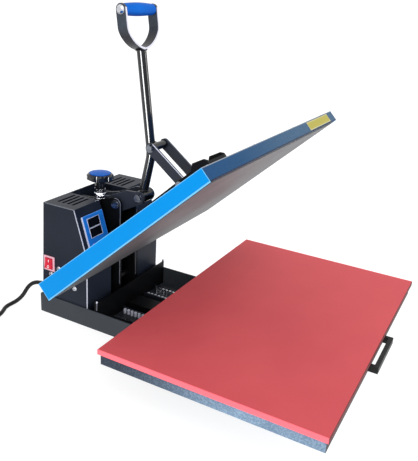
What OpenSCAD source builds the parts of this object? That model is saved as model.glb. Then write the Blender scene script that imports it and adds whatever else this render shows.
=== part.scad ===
// Drawer-type heat press, 40 x 60 cm class, with a clamshell upper platen and a toggle lever.
// Millimetres. X runs to the operator's right, Y to the rear, Z up.
// The origin is at the centre of the base tray's underside. The press is drawn open, drawer out.

/* [Base] */
// Width of the base tray
base_w = 258; // [250:1:280]
// Length of the base tray, front to rear
base_l = 560; // [556:2:600]
// Height of the tray's walls
base_h = 41; // [30:1:44]
// Thickness of the tray's sheet metal
sheet_t = 2; // [1.5:0.5:2]
// Height of the cross plate behind the drawer
cross_h = 62; // [50:1:70]

/* [Platens] */
// Width of the pad and of the lower plate
platen_w = 585; // [560:5:620]
// Depth of the silicone pad, front to rear
pad_d = 400; // [380:5:400]
// Thickness of the silicone pad
pad_t = 9; // [6:1:10]
// Height of the pad's top above the table
pad_top = 90; // [88:1:92]
// Thickness of the lower plate
lower_t = 20; // [18:1:20]
// How far the pad overhangs the lower plate
pad_over = 4; // [1:1:8]
// Travel of the drawer
drawer_travel = 128; // [100:1:128]
// Width of the upper platen's cover
cover_w = 568; // [560:2:600]
// Depth of the upper platen's cover
cover_d = 405; // [385:5:410]
// Height of the cover at the rear
cover_rear_h = 35; // [33:1:36]
// Height of the cover at the front
cover_front_h = 24; // [23:1:30]

/* [Linkage] */
// Angle by which the upper platen stands open
open_angle = 42.5; // [35:0.5:43]
// Distance from the lever's pivot to the elbow
crank_l = 113.5; // [113:0.25:114]
// Distance from the elbow to the platen's bracket pin
link_l = 95.5; // [95:0.25:96]
// Outer radius of the lever tube
lever_r = 9.5; // [9:0.5:11]
// Width of the D-shaped handle
handle_w = 106; // [100:2:130]
// Height of the D-shaped handle above the tube
handle_h = 84.5; // [80:0.5:100]

/* [Control box] */
// Width of the control box
box_w = 253; // [249:1:253]
// Height of the control box's top above the table
box_top = 246; // [240:1:250]
// Width of the open bay between the two cabinets
bay_w = 96; // [96:1:100]

/* [Cord] */
// Diameter of the mains cord
cord_d = 8.6; // [7:0.1:9]

/* [Hidden] */
$fn = 48;

// Running clearance of the pins in their bores
run = 0.05;
// A small extra length for cuts
cut = 1;

// Hinge of the upper platen, and the rear edge of the closed platen
hinge_y = 188;
hinge_z = 140;
closed_rear_y = 130;
closed_z = pad_top + 0.4;
hinge_r = 7;

// Toggle: lever pivot, arm pivot, and the bracket pin in the closed platen
pivot_y = 112;
pivot_z = 258.6;
arm_y = 161;
arm_z = 238;
pin_r = 6;
link_s = 191.4;
link_h = 52;
link_y = closed_rear_y - link_s;
link_z = closed_z + link_h;

// The bracket pin when the platen stands open
open_link_y = hinge_y + (link_y - hinge_y) * cos(open_angle) + (link_z - hinge_z) * sin(open_angle);
open_link_z = hinge_z - (link_y - hinge_y) * sin(open_angle) + (link_z - hinge_z) * cos(open_angle);

// The elbow, where the crank's circle meets the link's circle
reach_y = open_link_y - pivot_y;
reach_z = open_link_z - pivot_z;
reach = norm([reach_y, reach_z]);
along = (crank_l * crank_l - link_l * link_l + reach * reach) / (2 * reach);
aside = sqrt(crank_l * crank_l - along * along);
elbow_y = pivot_y + (along * reach_y + aside * reach_z) / reach;
elbow_z = pivot_z + (along * reach_z - aside * reach_y) / reach;

// Lever tube: foot behind the pivot, bend below the elbow, and top end
foot_y = pivot_y + 3;
bend_y = 96.5;
bend_z = 349;
top_y = 125.5;
top_z = 548;
tube_wall = 2;
strap_w = 22;
lower_lean = atan2(foot_y - bend_y, bend_z - pivot_z);
upper_lean = atan2(top_y - bend_y, top_z - bend_z);

// Places across the width: inner faces and thicknesses of the paired plates
arm_in = 15;
arm_t = 5;
bar_in = 23;
bar_t = 5;
upright_in = 24;
upright_t = 6;
ear_in = 31;
ear_t = 5;

// Pressure screw
screw_y = 224;
screw_r = 6;
trunnion_z = 226;
hub_z = 252;
knob_z = 270;
knob_h = 15;

// Control box: points of the side outline
front_y = 158;
slope_z = 151;
top_front_y = 188.6;
top_rear_y = 265;
foot_rear_y = 275.4;
foot_z = 2;
box_t = 1.5;
slope_l = norm([top_front_y - front_y, box_top - slope_z]);
slope_lean = atan2(top_front_y - front_y, box_top - slope_z);
rear_lean = atan2(foot_rear_y - top_rear_y, box_top - foot_z);

// Rocker switch on the left cabinet
switch_y = 254.5;
switch_z = 116;
rocker_tilt = 7;
rocker_depth = 3;

// Drawer: pad's front edge when out, and the slides
pad_front = -398;
slide_x = 62;
rail_front = -262;
rail_rear = 131;
carriage_front = -255;
carriage_rear = -5;

// Upper platen, in the closed place
plate_t = 9;
element_r = 3.5;
element_z = closed_z + plate_t + element_r + 0.1;
cover_front_y = closed_rear_y - cover_d;
trim_t = 1.5;
arm_top_h = 72;
ear_top_h = 61.5;
bracket_front_s = 270;

// Mains cord: hand-chosen points from the gland's tip to the coil
CORD_ROUTE = [
    [-108, 300, 50], [-108, 304, 50], [-108.5, 312, 48], [-110.5, 320.5, 44], [-112.5, 328.5, 36.5],
    [-115.5, 334, 27.5], [-120.5, 337.5, 18], [-127.5, 340.5, 11], [-137, 343.5, 6.2],
    [-148, 345.5, 4.5], [-158.5, 345.5, 4.5], [-169.5, 343, 4.5], [-179, 338, 4.5],
    [-189, 333.5, 4.5], [-200, 330.5, 4.5], [-211, 329, 4.5], [-222, 328.5, 4.5], [-234, 328.5, 4.5]
];
coil_x = -252;
coil_y = 380.3;
coil_mid_r = 47.5;
TAIL_ROUTE = [[-241, 432, 13], [-232, 432, 12.8], [-223, 432, 12.5], [-221, 432, 12.5]];

// ---------- helpers ----------

// A side outline in (y, z), made solid from x0 to x1
module side_slab(x0, x1) {
    translate([x0, 0, 0])
    rotate([90, 0, 90])
    linear_extrude(x1 - x0)
    children();
}

// The same side outline on both sides of the centre plane
module both_slabs(inner, thick) {
    side_slab(inner, inner + thick) children();
    side_slab(-inner - thick, -inner) children();
}

// A round bar along X
module bar_x(r, x0, x1, y, z) {
    translate([x0, y, z])
    rotate([0, 90, 0])
    cylinder(r = r, h = x1 - x0);
}

// A box given by its two corners
module block(low, high) {
    translate(low)
    cube(high - low);
}

// A copy on both sides of the centre plane
module both_sides() {
    children();
    mirror([1, 0, 0]) children();
}

// Moves a piece from the closed platen's place to the open one
module on_platen() {
    translate([0, hinge_y, hinge_z])
    rotate([-open_angle, 0, 0])
    translate([0, -hinge_y, -hinge_z])
    children();
}

// Local frame on the slanted front of the cabinets: x, distance up the slope, outwards
module on_slope() {
    translate([0, front_y, slope_z])
    rotate([90 - slope_lean, 0, 0])
    children();
}

// Local frame on the leaning rear cover: x, height along it, outwards
module on_rear() {
    translate([0, foot_rear_y + box_t, foot_z])
    rotate([rear_lean, 0, 0])
    children();
}

// A slot along X with round ends, cut downwards or upwards through z
module slot_x(length, width, depth) {
    straight = (length - width) / 2;
    block([-straight, -width / 2, -depth], [straight, width / 2, depth]);
    for (end = [-1, 1])
    translate([end * straight, 0, -depth])
    cylinder(d = width, h = 2 * depth);
}

function unit(v) = v / norm(v);
function heading(p, i) = unit(p[min(i + 1, len(p) - 1)] - p[max(i - 1, 0)]);
function carried(p, i) =
    let (t = heading(p, i))
    let (side = i == 0 ? [0, 0, 1] : carried(p, i - 1))
    unit(side - (side * t) * t);

// A tube swept along a list of points
module tube(points, r, sides) {
    rings = [
        for (i = [0 : len(points) - 1])
        let (u = carried(points, i), v = cross(heading(points, i), u))
        for (k = [0 : sides - 1])
        points[i] + r * (cos(360 * k / sides) * u + sin(360 * k / sides) * v)
    ];
    last = (len(points) - 1) * sides;
    walls = [
        for (i = [0 : len(points) - 2])
        for (k = [0 : sides - 1])
        let (a = i * sides + k, b = i * sides + (k + 1) % sides)
        [a, a + sides, b + sides, b]
    ];
    start_cap = [for (k = [0 : sides - 1]) k];
    end_cap = [for (k = [0 : sides - 1]) last + sides - 1 - k];
    polyhedron(points = rings, faces = concat([start_cap, end_cap], walls), convexity = 4);
}

// ---------- base ----------

module base_tray() {
    color("#4b4e52")
    difference() {
        block([-base_w / 2, -base_l / 2, 0], [base_w / 2, base_l / 2, base_h]);
        block(
            [-base_w / 2 + sheet_t, -base_l / 2 + sheet_t, sheet_t],
            [base_w / 2 - sheet_t, base_l / 2 - sheet_t, base_h + cut]
        );
    }
}

// Upright plate behind the drawer, with raised ends and a stiffening foot
module cross_plate() {
    plate_y = 137.5;
    half = base_w / 2 - sheet_t;
    end_w = 5;
    step = 5;
    color("#202124")
    union() {
        translate([0, plate_y + 1.5, 0])
        rotate([90, 0, 0])
        linear_extrude(3)
        polygon([
            [-half, sheet_t], [half, sheet_t], [half, cross_h - 2], [half - 3, cross_h],
            [half - end_w, cross_h - step], [end_w - half, cross_h - step],
            [end_w - half, cross_h], [-half, cross_h]
        ]);
        block([-half, plate_y, sheet_t], [half, plate_y + 10, sheet_t + 2]);
    }
}

module centre_rail() {
    rail_w = 40;
    rail_h = 14;
    color("#2a2c30")
    difference() {
        block([-rail_w / 2, rail_front, sheet_t], [rail_w / 2, rail_rear, sheet_t + rail_h]);
        block(
            [-rail_w / 2 + 2, rail_front - cut, sheet_t - cut],
            [rail_w / 2 - 2, rail_rear + cut, sheet_t + rail_h - 2]
        );
        for (y = [rail_front + 20 : 62 : rail_rear - 10])
        translate([0, y, 0])
        cylinder(r = 4, h = 30);
    }
}

// Fixed member of a drawer slide: an open channel
module slide_rail(x) {
    rail_w = 46;
    rail_h = 13;
    color("#34373c")
    translate([x, 0, sheet_t])
    difference() {
        block([-rail_w / 2, rail_front, 0], [rail_w / 2, rail_rear, rail_h]);
        block(
            [-rail_w / 2 + 2, rail_front - cut, 2],
            [rail_w / 2 - 2, rail_rear + cut, rail_h + cut]
        );
    }
}

module slide_rail_left() {
    slide_rail(-slide_x);
}

module slide_rail_right() {
    slide_rail(slide_x);
}

// Rows of rollers held in the outer channel wall of each slide
module roller_strips() {
    roller_x = slide_x + 17;
    pitch = 9;
    color("#c9ccd0")
    both_sides()
    union() {
        block([roller_x + 0.5, rail_front + 4, 4], [roller_x + 2, rail_rear - 3, 11]);
        for (y = [-30 : pitch : rail_rear - 4])
        translate([roller_x + 0.4, y, 4])
        cylinder(r = 3.1, h = 9.5, $fn = 20);
    }
}

// ---------- frame that carries the hinge and the arms ----------

module upright_outline() {
    front = arm_y - 12;
    rear = 250;
    difference() {
        union() {
            polygon([
                [front, sheet_t], [rear, sheet_t], [rear, arm_z], [arm_y + 42, arm_z + 2],
                [arm_y + 8, arm_z + 12], [arm_y, arm_z + 12], [arm_y, arm_z], [front, arm_z]
            ]);
            translate([arm_y, arm_z]) circle(r = 12);
        }
        translate([arm_y, arm_z]) circle(r = pin_r);
        translate([hinge_y, hinge_z]) circle(r = hinge_r);
    }
}

module upright(x0, x1, foot0, foot1) {
    color("#1b1c1f")
    union() {
        side_slab(x0, x1) upright_outline();
        block([foot0, 162, sheet_t], [foot1, 246, sheet_t + 4]);
    }
}

module upright_left() {
    upright(-upright_in - upright_t, -upright_in, -46, -upright_in - upright_t + 0.5);
}

module upright_right() {
    upright(upright_in, upright_in + upright_t, upright_in + upright_t - 0.5, 46);
}

module upright_ties() {
    color("#2a2b2e")
    union() {
        bar_x(7, -upright_in, upright_in, 236, 90);
        bar_x(7, -upright_in, upright_in, 172, 60);
    }
}

module hinge_shaft() {
    half = upright_in + upright_t;
    color("silver")
    union() {
        bar_x(hinge_r, -ear_in - ear_t - 3.2, ear_in + ear_t + 3.2, hinge_y, hinge_z);
        for (side = [-1, 1])
        translate([side * (half + 0.3), hinge_y, hinge_z])
        rotate([0, 90, 0])
        cylinder(r = 11, h = 0.6, center = true);
    }
}

module arm_bolt() {
    reach_x = upright_in + upright_t;
    color("silver")
    union() {
        bar_x(pin_r, -reach_x, reach_x, arm_y, arm_z);
        bar_x(9.5, -reach_x - 1.2, -reach_x, arm_y, arm_z);
        bar_x(7.5, -reach_x - 6, -reach_x - 1.2, arm_y, arm_z);
        bar_x(9.5, reach_x, reach_x + 1.2, arm_y, arm_z);
        translate([reach_x + 1.2, arm_y, arm_z])
        rotate([0, 90, 0])
        cylinder(r = 8.5, h = 5, $fn = 6);
    }
}

module arm_spacers() {
    color("#8d9096")
    difference() {
        union() {
            bar_x(9.5, -arm_in + 0.4, arm_in - 0.4, arm_y, arm_z);
            both_sides()
            bar_x(9.5, arm_in + arm_t + 0.4, upright_in, arm_y, arm_z);
        }
        bar_x(pin_r, -upright_in - cut, upright_in + cut, arm_y, arm_z);
    }
}

// Block between the uprights that holds the foot of the pressure screw
module thrust_block() {
    block_top = 205;
    color("#26272a")
    difference() {
        block([-upright_in, screw_y - 14, 186], [upright_in, screw_y + 14, block_top]);
        translate([0, screw_y, 191])
        cylinder(r = screw_r + run, h = 20);
    }
}

// ---------- control box ----------

module box_outline() {
    polygon([
        [front_y, foot_z], [front_y, slope_z], [top_front_y, box_top],
        [top_rear_y, box_top], [foot_rear_y, foot_z]
    ]);
}

module box_hollow() {
    polygon([
        [front_y + box_t, foot_z - cut], [front_y + box_t, slope_z],
        [top_front_y + box_t, box_top - box_t], [top_rear_y + 10, box_top - box_t],
        [foot_rear_y + 10, foot_z - cut]
    ]);
}

// Sheet metal shell of the right cabinet: top, front and two sides
module cabinet_shell() {
    inner = bay_w / 2;
    outer = box_w / 2;
    vent_x = 81;
    vent_pitch = 12;
    difference() {
        side_slab(inner, outer) box_outline();
        side_slab(inner + box_t, outer - box_t) box_hollow();
        for (k = [0 : 3])
        translate([vent_x, 210 + k * vent_pitch, box_top])
        slot_x(52, 6, 6);
    }
}

module cabinet_left() {
    color("#26282c")
    difference() {
        mirror([1, 0, 0]) cabinet_shell();
        block([-box_w / 2 - cut, switch_y - 10.5, switch_z - 13.5], [-100, switch_y + 10.5, switch_z + 13.5]);
        on_slope()
        block([-105, 8, -5], [-58, 68, 5]);
        for (hole = side_screw_places())
        bar_x(2.5, -box_w / 2 - cut, -box_w / 2 + 5, hole[0], hole[1]);
    }
}

module cabinet_right() {
    color("#26282c")
    difference() {
        cabinet_shell();
        bar_x(4, bay_w / 2 - cut, bay_w / 2 + 5, hinge_y, hinge_z);
        for (hole = side_screw_places())
        bar_x(2.5, box_w / 2 - 5, box_w / 2 + cut, hole[0], hole[1]);
    }
}

function side_screw_places() = [[252, 92.5], [231, 109.5], [190, 76]];

// Leaning sheet that closes the rear, with two groups of vents
module rear_cover() {
    cover_l = norm([foot_rear_y - top_rear_y, box_top - foot_z]);
    color("#26282c")
    difference() {
        on_rear()
        block([-box_w / 2, -box_t, 0.3], [box_w / 2, 0, cover_l]);
        for (x = [-74, 0, 74])
        for (k = [0 : 4])
        on_rear()
        translate([x, 0, 120 + k * 18])
        rotate([90, 0, 0])
        slot_x(48, 6, 4);
        translate([CORD_ROUTE[0][0], 260, CORD_ROUTE[0][2]])
        rotate([-90, 0, 0])
        cylinder(r = 7.6, h = 30);
        for (place = rear_screw_places())
        on_rear()
        translate([place[0], -5, place[1]])
        rotate([-90, 0, 0])
        cylinder(r = 2, h = 10);
    }
}

function rear_screw_places() = [
    for (x = [-118, -54, 54, 118])
    for (h = [80, 232])
    [x, h]
];

module cover_screws() {
    color("#101113")
    for (place = rear_screw_places())
    on_rear()
    translate([place[0], 0, place[1]])
    rotate([-90, 0, 0])
    union() {
        translate([0, 0, -4]) cylinder(r = 2, h = 4, $fn = 20);
        cylinder(r1 = 4, r2 = 2.6, h = 2, $fn = 20);
    }
}

module side_screws() {
    color("white")
    both_sides()
    for (hole = side_screw_places())
    union() {
        bar_x(2.5, box_w / 2 - 4, box_w / 2, hole[0], hole[1]);
        translate([box_w / 2, hole[0], hole[1]])
        rotate([0, 90, 0])
        cylinder(r1 = 5, r2 = 3.4, h = 2.2);
    }
}

module display_panel() {
    left = -114;
    right = -50;
    color("#1f6fe0")
    difference() {
        on_slope()
        block([left, 2, 0], [right, 80.5, 2]);
        on_slope()
        block([-101, 34, 0.8], [-65, 73, 3]);
        for (x = button_places())
        on_slope()
        translate([x, 19, -cut])
        cylinder(r = 4, h = 5);
    }
}

function button_places() = [-98, -82, -66];

module display_window() {
    color("black")
    on_slope()
    union() {
        block([-101, 54.2, 0.8], [-65, 73, 2.4]);
        block([-101, 34, 0.8], [-65, 52.8, 2.4]);
        block([-101, 34, 0.8], [-65, 73, 1.6]);
    }
}

module button(x) {
    color("#e8e9ec")
    on_slope()
    translate([x, 19, -2])
    union() {
        cylinder(r = 3.6, h = 5);
        cylinder(r = 5, h = 1.2);
    }
}

module button_set() {
    button(button_places()[0]);
}

module button_down() {
    button(button_places()[1]);
}

module button_up() {
    button(button_places()[2]);
}

// Circuit board behind the panel, held by four posts
module control_board() {
    color("#1f6b3a")
    on_slope()
    union() {
        block([-104, 9, -7], [-59, 67, -5.4]);
        block([-98, 36, -5.4], [-68, 66, -4.2]);
        for (x = [-101, -62])
        for (s = [12, 64])
        translate([x, s, -5.4])
        cylinder(r = 2, h = 5.4);
    }
}

module switch_frame() {
    face_x = -box_w / 2;
    half_w = 13.5;
    half_h = 16;
    color("#e9d9d8")
    translate([face_x, switch_y, switch_z])
    union() {
        difference() {
            union() {
                block([-2, -half_w, -half_h], [0, half_w, half_h]);
                block([0, -10.4, -13.4], [16, 10.4, 13.4]);
            }
            block([-3, -9.4, -12.4], [13, 9.4, 12.4]);
        }
        translate([rocker_depth, 0, 0])
        rotate([90, 0, 0])
        cylinder(r = 1.15, h = 19.4, center = true);
    }
}

module switch_rocker() {
    color("#d3202e")
    translate([rocker_depth - box_w / 2, switch_y, switch_z])
    rotate([0, rocker_tilt, 0])
    difference() {
        translate([0, 9, 0])
        rotate([90, 0, 0])
        linear_extrude(18)
        polygon([[1.5, -6], [-2, -10.6], [-8.2, -11], [-7, 0], [-8.2, 11], [-2, 10.6], [1.5, 6]]);
        rotate([90, 0, 0])
        cylinder(r = 1.2, h = 30, center = true);
    }
}

module lead_grommet() {
    color("#151515")
    difference() {
        union() {
            bar_x(6.5, bay_w / 2 - 2, bay_w / 2, hinge_y, hinge_z);
            bar_x(4, bay_w / 2, bay_w / 2 + 4, hinge_y, hinge_z);
        }
        bar_x(2, bay_w / 2 - 3, bay_w / 2 + 2, hinge_y, hinge_z);
    }
}

// ---------- mains cord ----------

module cord_gland() {
    exit = CORD_ROUTE[0];
    cover_y = 275.6;
    flange_t = 2;
    color("#141414")
    translate([exit[0], 0, exit[2]])
    rotate([-90, 0, 0])
    union() {
        translate([0, 0, cover_y - 8]) cylinder(r = 7.5, h = 8);
        translate([0, 0, cover_y]) cylinder(r = 10, h = flange_t);
        translate([0, 0, cover_y + flange_t])
        cylinder(r1 = 7.2, r2 = cord_d / 2 + 0.8, h = exit[1] - cover_y - flange_t);
    }
}

module power_cord() {
    color("#1a1a1a")
    tube(CORD_ROUTE, cord_d / 2, 10);
}

module cord_coil() {
    color("#1a1a1a")
    translate([coil_x, coil_y, 0.1])
    rotate_extrude()
    translate([coil_mid_r - cord_d, 0])
    square([2 * cord_d, 2 * cord_d]);
}

module cord_tail() {
    color("#1a1a1a")
    tube(TAIL_ROUTE, cord_d / 2, 10);
}

module plug() {
    start = TAIL_ROUTE[len(TAIL_ROUTE) - 1];
    body_l = 30;
    relief_l = 20;
    color("#181818")
    translate(start)
    union() {
        rotate([0, 90, 0]) cylinder(r1 = cord_d / 2 + 1, r2 = 8, h = relief_l);
        block([relief_l, -13, -12.4], [relief_l + body_l, 13, 11]);
        for (y = [-6.5, 6.5])
        block([relief_l + body_l - 1, y - 0.8, -3], [relief_l + body_l + 17, y + 0.8, 3.5]);
        translate([relief_l + body_l - 1, 0, -7.5])
        rotate([0, 90, 0])
        cylinder(r = 2.4, h = 21);
    }
}

// ---------- pressure adjustment ----------

module pressure_screw() {
    color("silver")
    translate([0, screw_y, 0])
    union() {
        translate([0, 0, 192]) cylinder(r = screw_r, h = knob_z - 190);
        translate([0, 0, 205.4]) cylinder(r = 9.5, h = 3.6);
        translate([0, 0, hub_z - 12]) cylinder(r = 12.5, h = 2.2);
        translate([0, 0, hub_z - 9.8]) cylinder(r = 12, h = 9.8, $fn = 6);
    }
}

// Lobed hand knob on the pressure screw
module pressure_knob() {
    knob_r = 28.3;
    rim_h = 3.5;
    lobes = 8;
    color("#17181a")
    translate([0, screw_y, 0])
    difference() {
        union() {
            translate([0, 0, hub_z]) cylinder(r = 10.5, h = knob_z - hub_z);
            translate([0, 0, knob_z]) cylinder(r1 = 22, r2 = knob_r, h = rim_h);
            translate([0, 0, knob_z + rim_h]) cylinder(r = knob_r, h = knob_h - 2 * rim_h);
            translate([0, 0, knob_z + knob_h - rim_h]) cylinder(r1 = knob_r, r2 = 24.5, h = rim_h);
        }
        for (k = [0 : lobes - 1])
        rotate([0, 0, (k + 0.5) * 360 / lobes])
        translate([knob_r + 3.4, 0, knob_z - cut])
        cylinder(r = 6.2, h = knob_h + 2 * cut);
        translate([0, 0, hub_z - cut]) cylinder(r = screw_r, h = knob_z + 2 - hub_z + cut);
    }
}

module knob_cap() {
    cap_r = 22.5;
    rise = 2.4;
    rim = 1.4;
    ball_r = (cap_r * cap_r + rise * rise) / (2 * rise);
    color("#1d5fc4")
    translate([0, screw_y, knob_z + knob_h])
    intersection() {
        cylinder(r = cap_r, h = rise + rim);
        translate([0, 0, rise + rim - ball_r]) sphere(r = ball_r, $fn = 120);
    }
}

// Cross nut that the screw turns in, with journals in the two arms
module trunnion_nut() {
    journal_x = arm_in + arm_t + 2.5;
    color("#8d9096")
    difference() {
        union() {
            bar_x(10, -arm_in + 0.5, arm_in - 0.5, screw_y, trunnion_z);
            bar_x(6, -journal_x, journal_x, screw_y, trunnion_z);
        }
        translate([0, screw_y, 200])
        cylinder(r = screw_r + 0.08, h = 60);
    }
}

module arm_outline() {
    slot = 1.4;
    slot_r = 6.4;
    difference() {
        union() {
            polygon([
                [112, 270], [142, 268], [186, 248], [224, 239], [236, 234], [237, 219],
                [224, 213.5], [158, 219], [128, 234], [103, 248]
            ]);
            translate([pivot_y, pivot_z]) circle(r = 13);
            translate([arm_y, arm_z]) circle(r = 19);
        }
        translate([pivot_y, pivot_z]) circle(r = pin_r);
        translate([arm_y, arm_z]) circle(r = pin_r + run);
        for (end = [-1, 1])
        translate([screw_y + end * slot, trunnion_z]) circle(r = slot_r);
        translate([screw_y - slot, trunnion_z - slot_r]) square([2 * slot, 2 * slot_r]);
    }
}

// Two arm plates, tied together behind the lever
module pressure_arms() {
    color("#2b2d31")
    union() {
        both_slabs(arm_in, arm_t) arm_outline();
        bar_x(5, -arm_in, arm_in, 194, 231);
    }
}

module lever_bolt() {
    outer = arm_in + arm_t;
    color("silver")
    union() {
        bar_x(pin_r, -outer, outer, pivot_y, pivot_z);
        bar_x(9, -outer - 1.2, -outer, pivot_y, pivot_z);
        bar_x(7.5, -outer - 5.5, -outer - 1.2, pivot_y, pivot_z);
        bar_x(9, outer, outer + 1.2, pivot_y, pivot_z);
        translate([outer + 1.2, pivot_y, pivot_z])
        rotate([0, 90, 0])
        cylinder(r = 8, h = 4.5, $fn = 6);
    }
}

module lever_bush() {
    color("#b08d4a")
    difference() {
        bar_x(8, -arm_in + 0.4, arm_in - 0.4, pivot_y, pivot_z);
        bar_x(pin_r + 2 * run, -arm_in, arm_in, pivot_y, pivot_z);
    }
}

// ---------- lever ----------

// The lever's round form, at a given radius, from a distance above the pivot to the top
module lever_form(r, from) {
    bend_r = 80;
    turn = lower_lean + upper_lean;
    tangent_l = bend_r * tan(turn / 2);
    lower_l = norm([bend_y - foot_y, bend_z - pivot_z]) - tangent_l;
    upper_l = norm([top_y - bend_y, top_z - bend_z]) - tangent_l;
    translate([0, foot_y, pivot_z])
    rotate([lower_lean, 0, 0]) {
        translate([0, 0, from])
        cylinder(r = r, h = lower_l - from);
        translate([0, bend_r, lower_l])
        rotate([90, 0, -90])
        rotate_extrude(angle = turn, $fn = 96)
        translate([bend_r, 0])
        circle(r = r);
        translate([0, bend_r, lower_l])
        rotate([-turn, 0, 0])
        translate([0, -bend_r, 0])
        cylinder(r = r, h = upper_l);
    }
}

module lever_tube() {
    sleeve_r = 13;
    color("#17181a")
    difference() {
        union() {
            lever_form(lever_r, 4);
            bar_x(sleeve_r, -arm_in + 0.6, arm_in - 0.6, pivot_y, pivot_z);
            bar_x(8, -bar_in + 0.5, bar_in - 0.5, elbow_y, elbow_z);
            block([-6, elbow_y, elbow_z - 5], [6, bend_y, elbow_z + 5]);
        }
        bar_x(8 + run, -arm_in, arm_in, pivot_y, pivot_z);
        bar_x(5.2, -bar_in, bar_in, elbow_y, elbow_z);
        lever_form(lever_r - tube_wall, 22);
    }
}

// Local frame on top of the lever tube, with Z along the tube
module on_lever_top() {
    translate([0, top_y, top_z])
    rotate([-upper_lean, 0, 0])
    children();
}

function strap_x(t, half) = half * pow(cos(t), 1.25);
function strap_drop(t, drop) = drop * (1 - pow(sin(t), 1.25));

// A flat strap bent into a U, with round ends around the grip's bolt
module handle_fork() {
    strap_t = 4;
    half = handle_w / 2;
    shoulder = 41;
    bolt_h = handle_h - strap_w / 2;
    right_outer = [for (t = [0 : 6 : 90]) [strap_x(t, half), strap_drop(t, shoulder)]];
    left_outer = [for (t = [84 : -6 : 0]) [-strap_x(t, half), strap_drop(t, shoulder)]];
    left_inner = [for (t = [0 : 6 : 90]) [-strap_x(t, half - strap_t), strap_t + strap_drop(t, shoulder - strap_t)]];
    right_inner = [for (t = [84 : -6 : 0]) [strap_x(t, half - strap_t), strap_t + strap_drop(t, shoulder - strap_t)]];
    outline = concat(
        [[half, handle_h]], right_outer, left_outer,
        [[-half, handle_h], [strap_t - half, handle_h]], left_inner, right_inner,
        [[half - strap_t, handle_h]]
    );
    color("#1d1e20")
    on_lever_top()
    difference() {
        union() {
            intersection() {
                translate([0, strap_w / 2, 0])
                rotate([90, 0, 0])
                linear_extrude(strap_w)
                polygon(outline);
                union() {
                    block([-half - cut, -strap_w / 2, -cut], [half + cut, strap_w / 2, bolt_h]);
                    bar_x(strap_w / 2, -half - cut, half + cut, 0, bolt_h);
                }
            }
            cylinder(r = lever_r, h = 2);
        }
        bar_x(5, -half - cut, half + cut, 0, bolt_h);
    }
}

module grip_bolt() {
    half = handle_w / 2;
    bolt_h = handle_h - strap_w / 2;
    color("silver")
    on_lever_top()
    union() {
        bar_x(5, -half, half, 0, bolt_h);
        bar_x(8.5, -half - 1.5, -half, 0, bolt_h);
        translate([-half - 1.5, 0, bolt_h])
        rotate([0, -90, 0])
        cylinder(r1 = 8, r2 = 5, h = 4);
        translate([half, 0, bolt_h])
        rotate([0, 90, 0])
        cylinder(r = 7.5, h = 5, $fn = 6);
    }
}

// Barrel-shaped grip that turns on the bolt
module handle_grip() {
    grip_l = handle_w - 12;
    end_r = 10.5;
    mid_r = 12.5;
    profile = [for (k = [0 : 12]) [end_r + (mid_r - end_r) * sin(180 * k / 12), grip_l * (k / 12 - 0.5)]];
    color("#1667c9")
    on_lever_top()
    translate([0, 0, handle_h - strap_w / 2])
    rotate([0, 90, 0])
    rotate_extrude()
    polygon(concat([[5 + run, -grip_l / 2]], profile, [[5 + run, grip_l / 2]]));
}

// ---------- link ----------

module link_bars() {
    bar_r = 10.5;
    dy = elbow_y - open_link_y;
    dz = elbow_z - open_link_z;
    color("#2b2d31")
    both_slabs(bar_in, bar_t)
    difference() {
        union() {
            translate([open_link_y, open_link_z]) circle(r = bar_r);
            translate([elbow_y, elbow_z]) circle(r = bar_r);
            translate([open_link_y, open_link_z])
            rotate(atan2(dz, dy))
            translate([0, -bar_r])
            square([link_l, 2 * bar_r]);
        }
        translate([open_link_y, open_link_z]) circle(r = pin_r + run);
        translate([elbow_y, elbow_z]) circle(r = 5);
    }
}

module elbow_bolts() {
    color("silver")
    both_sides()
    union() {
        bar_x(5, bar_in, bar_in + bar_t, elbow_y, elbow_z);
        bar_x(8, bar_in + bar_t, bar_in + bar_t + 1, elbow_y, elbow_z);
        translate([bar_in + bar_t + 1, elbow_y, elbow_z])
        rotate([0, 90, 0])
        cylinder(r = 7.5, h = 4, $fn = 6);
    }
}

// ---------- upper platen ----------

module heat_plate() {
    half = cover_w / 2 - 8.5;
    color("#8f8a88")
    on_platen()
    difference() {
        block([-half, cover_front_y + 8.5, closed_z], [half, closed_rear_y - 8.5, closed_z + plate_t]);
        for (x = [-20, 20])
        for (y = [-110, 80])
        translate([x, y, closed_z + 3])
        cylinder(r = 4, h = plate_t);
    }
}

// A bent heating rod: six straight runs joined by half circles
module heating_element() {
    runs = 6;
    spacing = 70;
    first_y = -235;
    half_l = 230;
    color("#5b4a44")
    on_platen()
    translate([0, 0, element_z])
    union() {
        for (k = [0 : runs - 1])
        bar_x(element_r, -half_l, half_l, first_y + k * spacing, 0);
        for (k = [0 : runs - 2])
        translate([k % 2 == 0 ? half_l : -half_l, first_y + (k + 0.5) * spacing, 0])
        rotate([0, 0, k % 2 == 0 ? -90 : 90])
        rotate_extrude(angle = 180)
        translate([spacing / 2, 0])
        circle(r = element_r, $fn = 24);
    }
}

function cover_h(y) = cover_front_h + (cover_rear_h - cover_front_h) * (y - cover_front_y) / cover_d;

module insulation() {
    half = cover_w / 2 - 6;
    bottom = element_z + element_r + 0.2;
    front = cover_front_y + 6;
    rear = closed_rear_y - 6;
    color("#d9cfae")
    on_platen()
    difference() {
        side_slab(-half, half)
        polygon([
            [front, bottom], [rear, bottom],
            [rear, closed_z + cover_h(rear) - 2], [front, closed_z + cover_h(front) - 2]
        ]);
        for (x = [-20, 20])
        for (y = [-110, 80])
        translate([x, y, closed_z])
        cylinder(r = 5, h = 60);
    }
}

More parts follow.
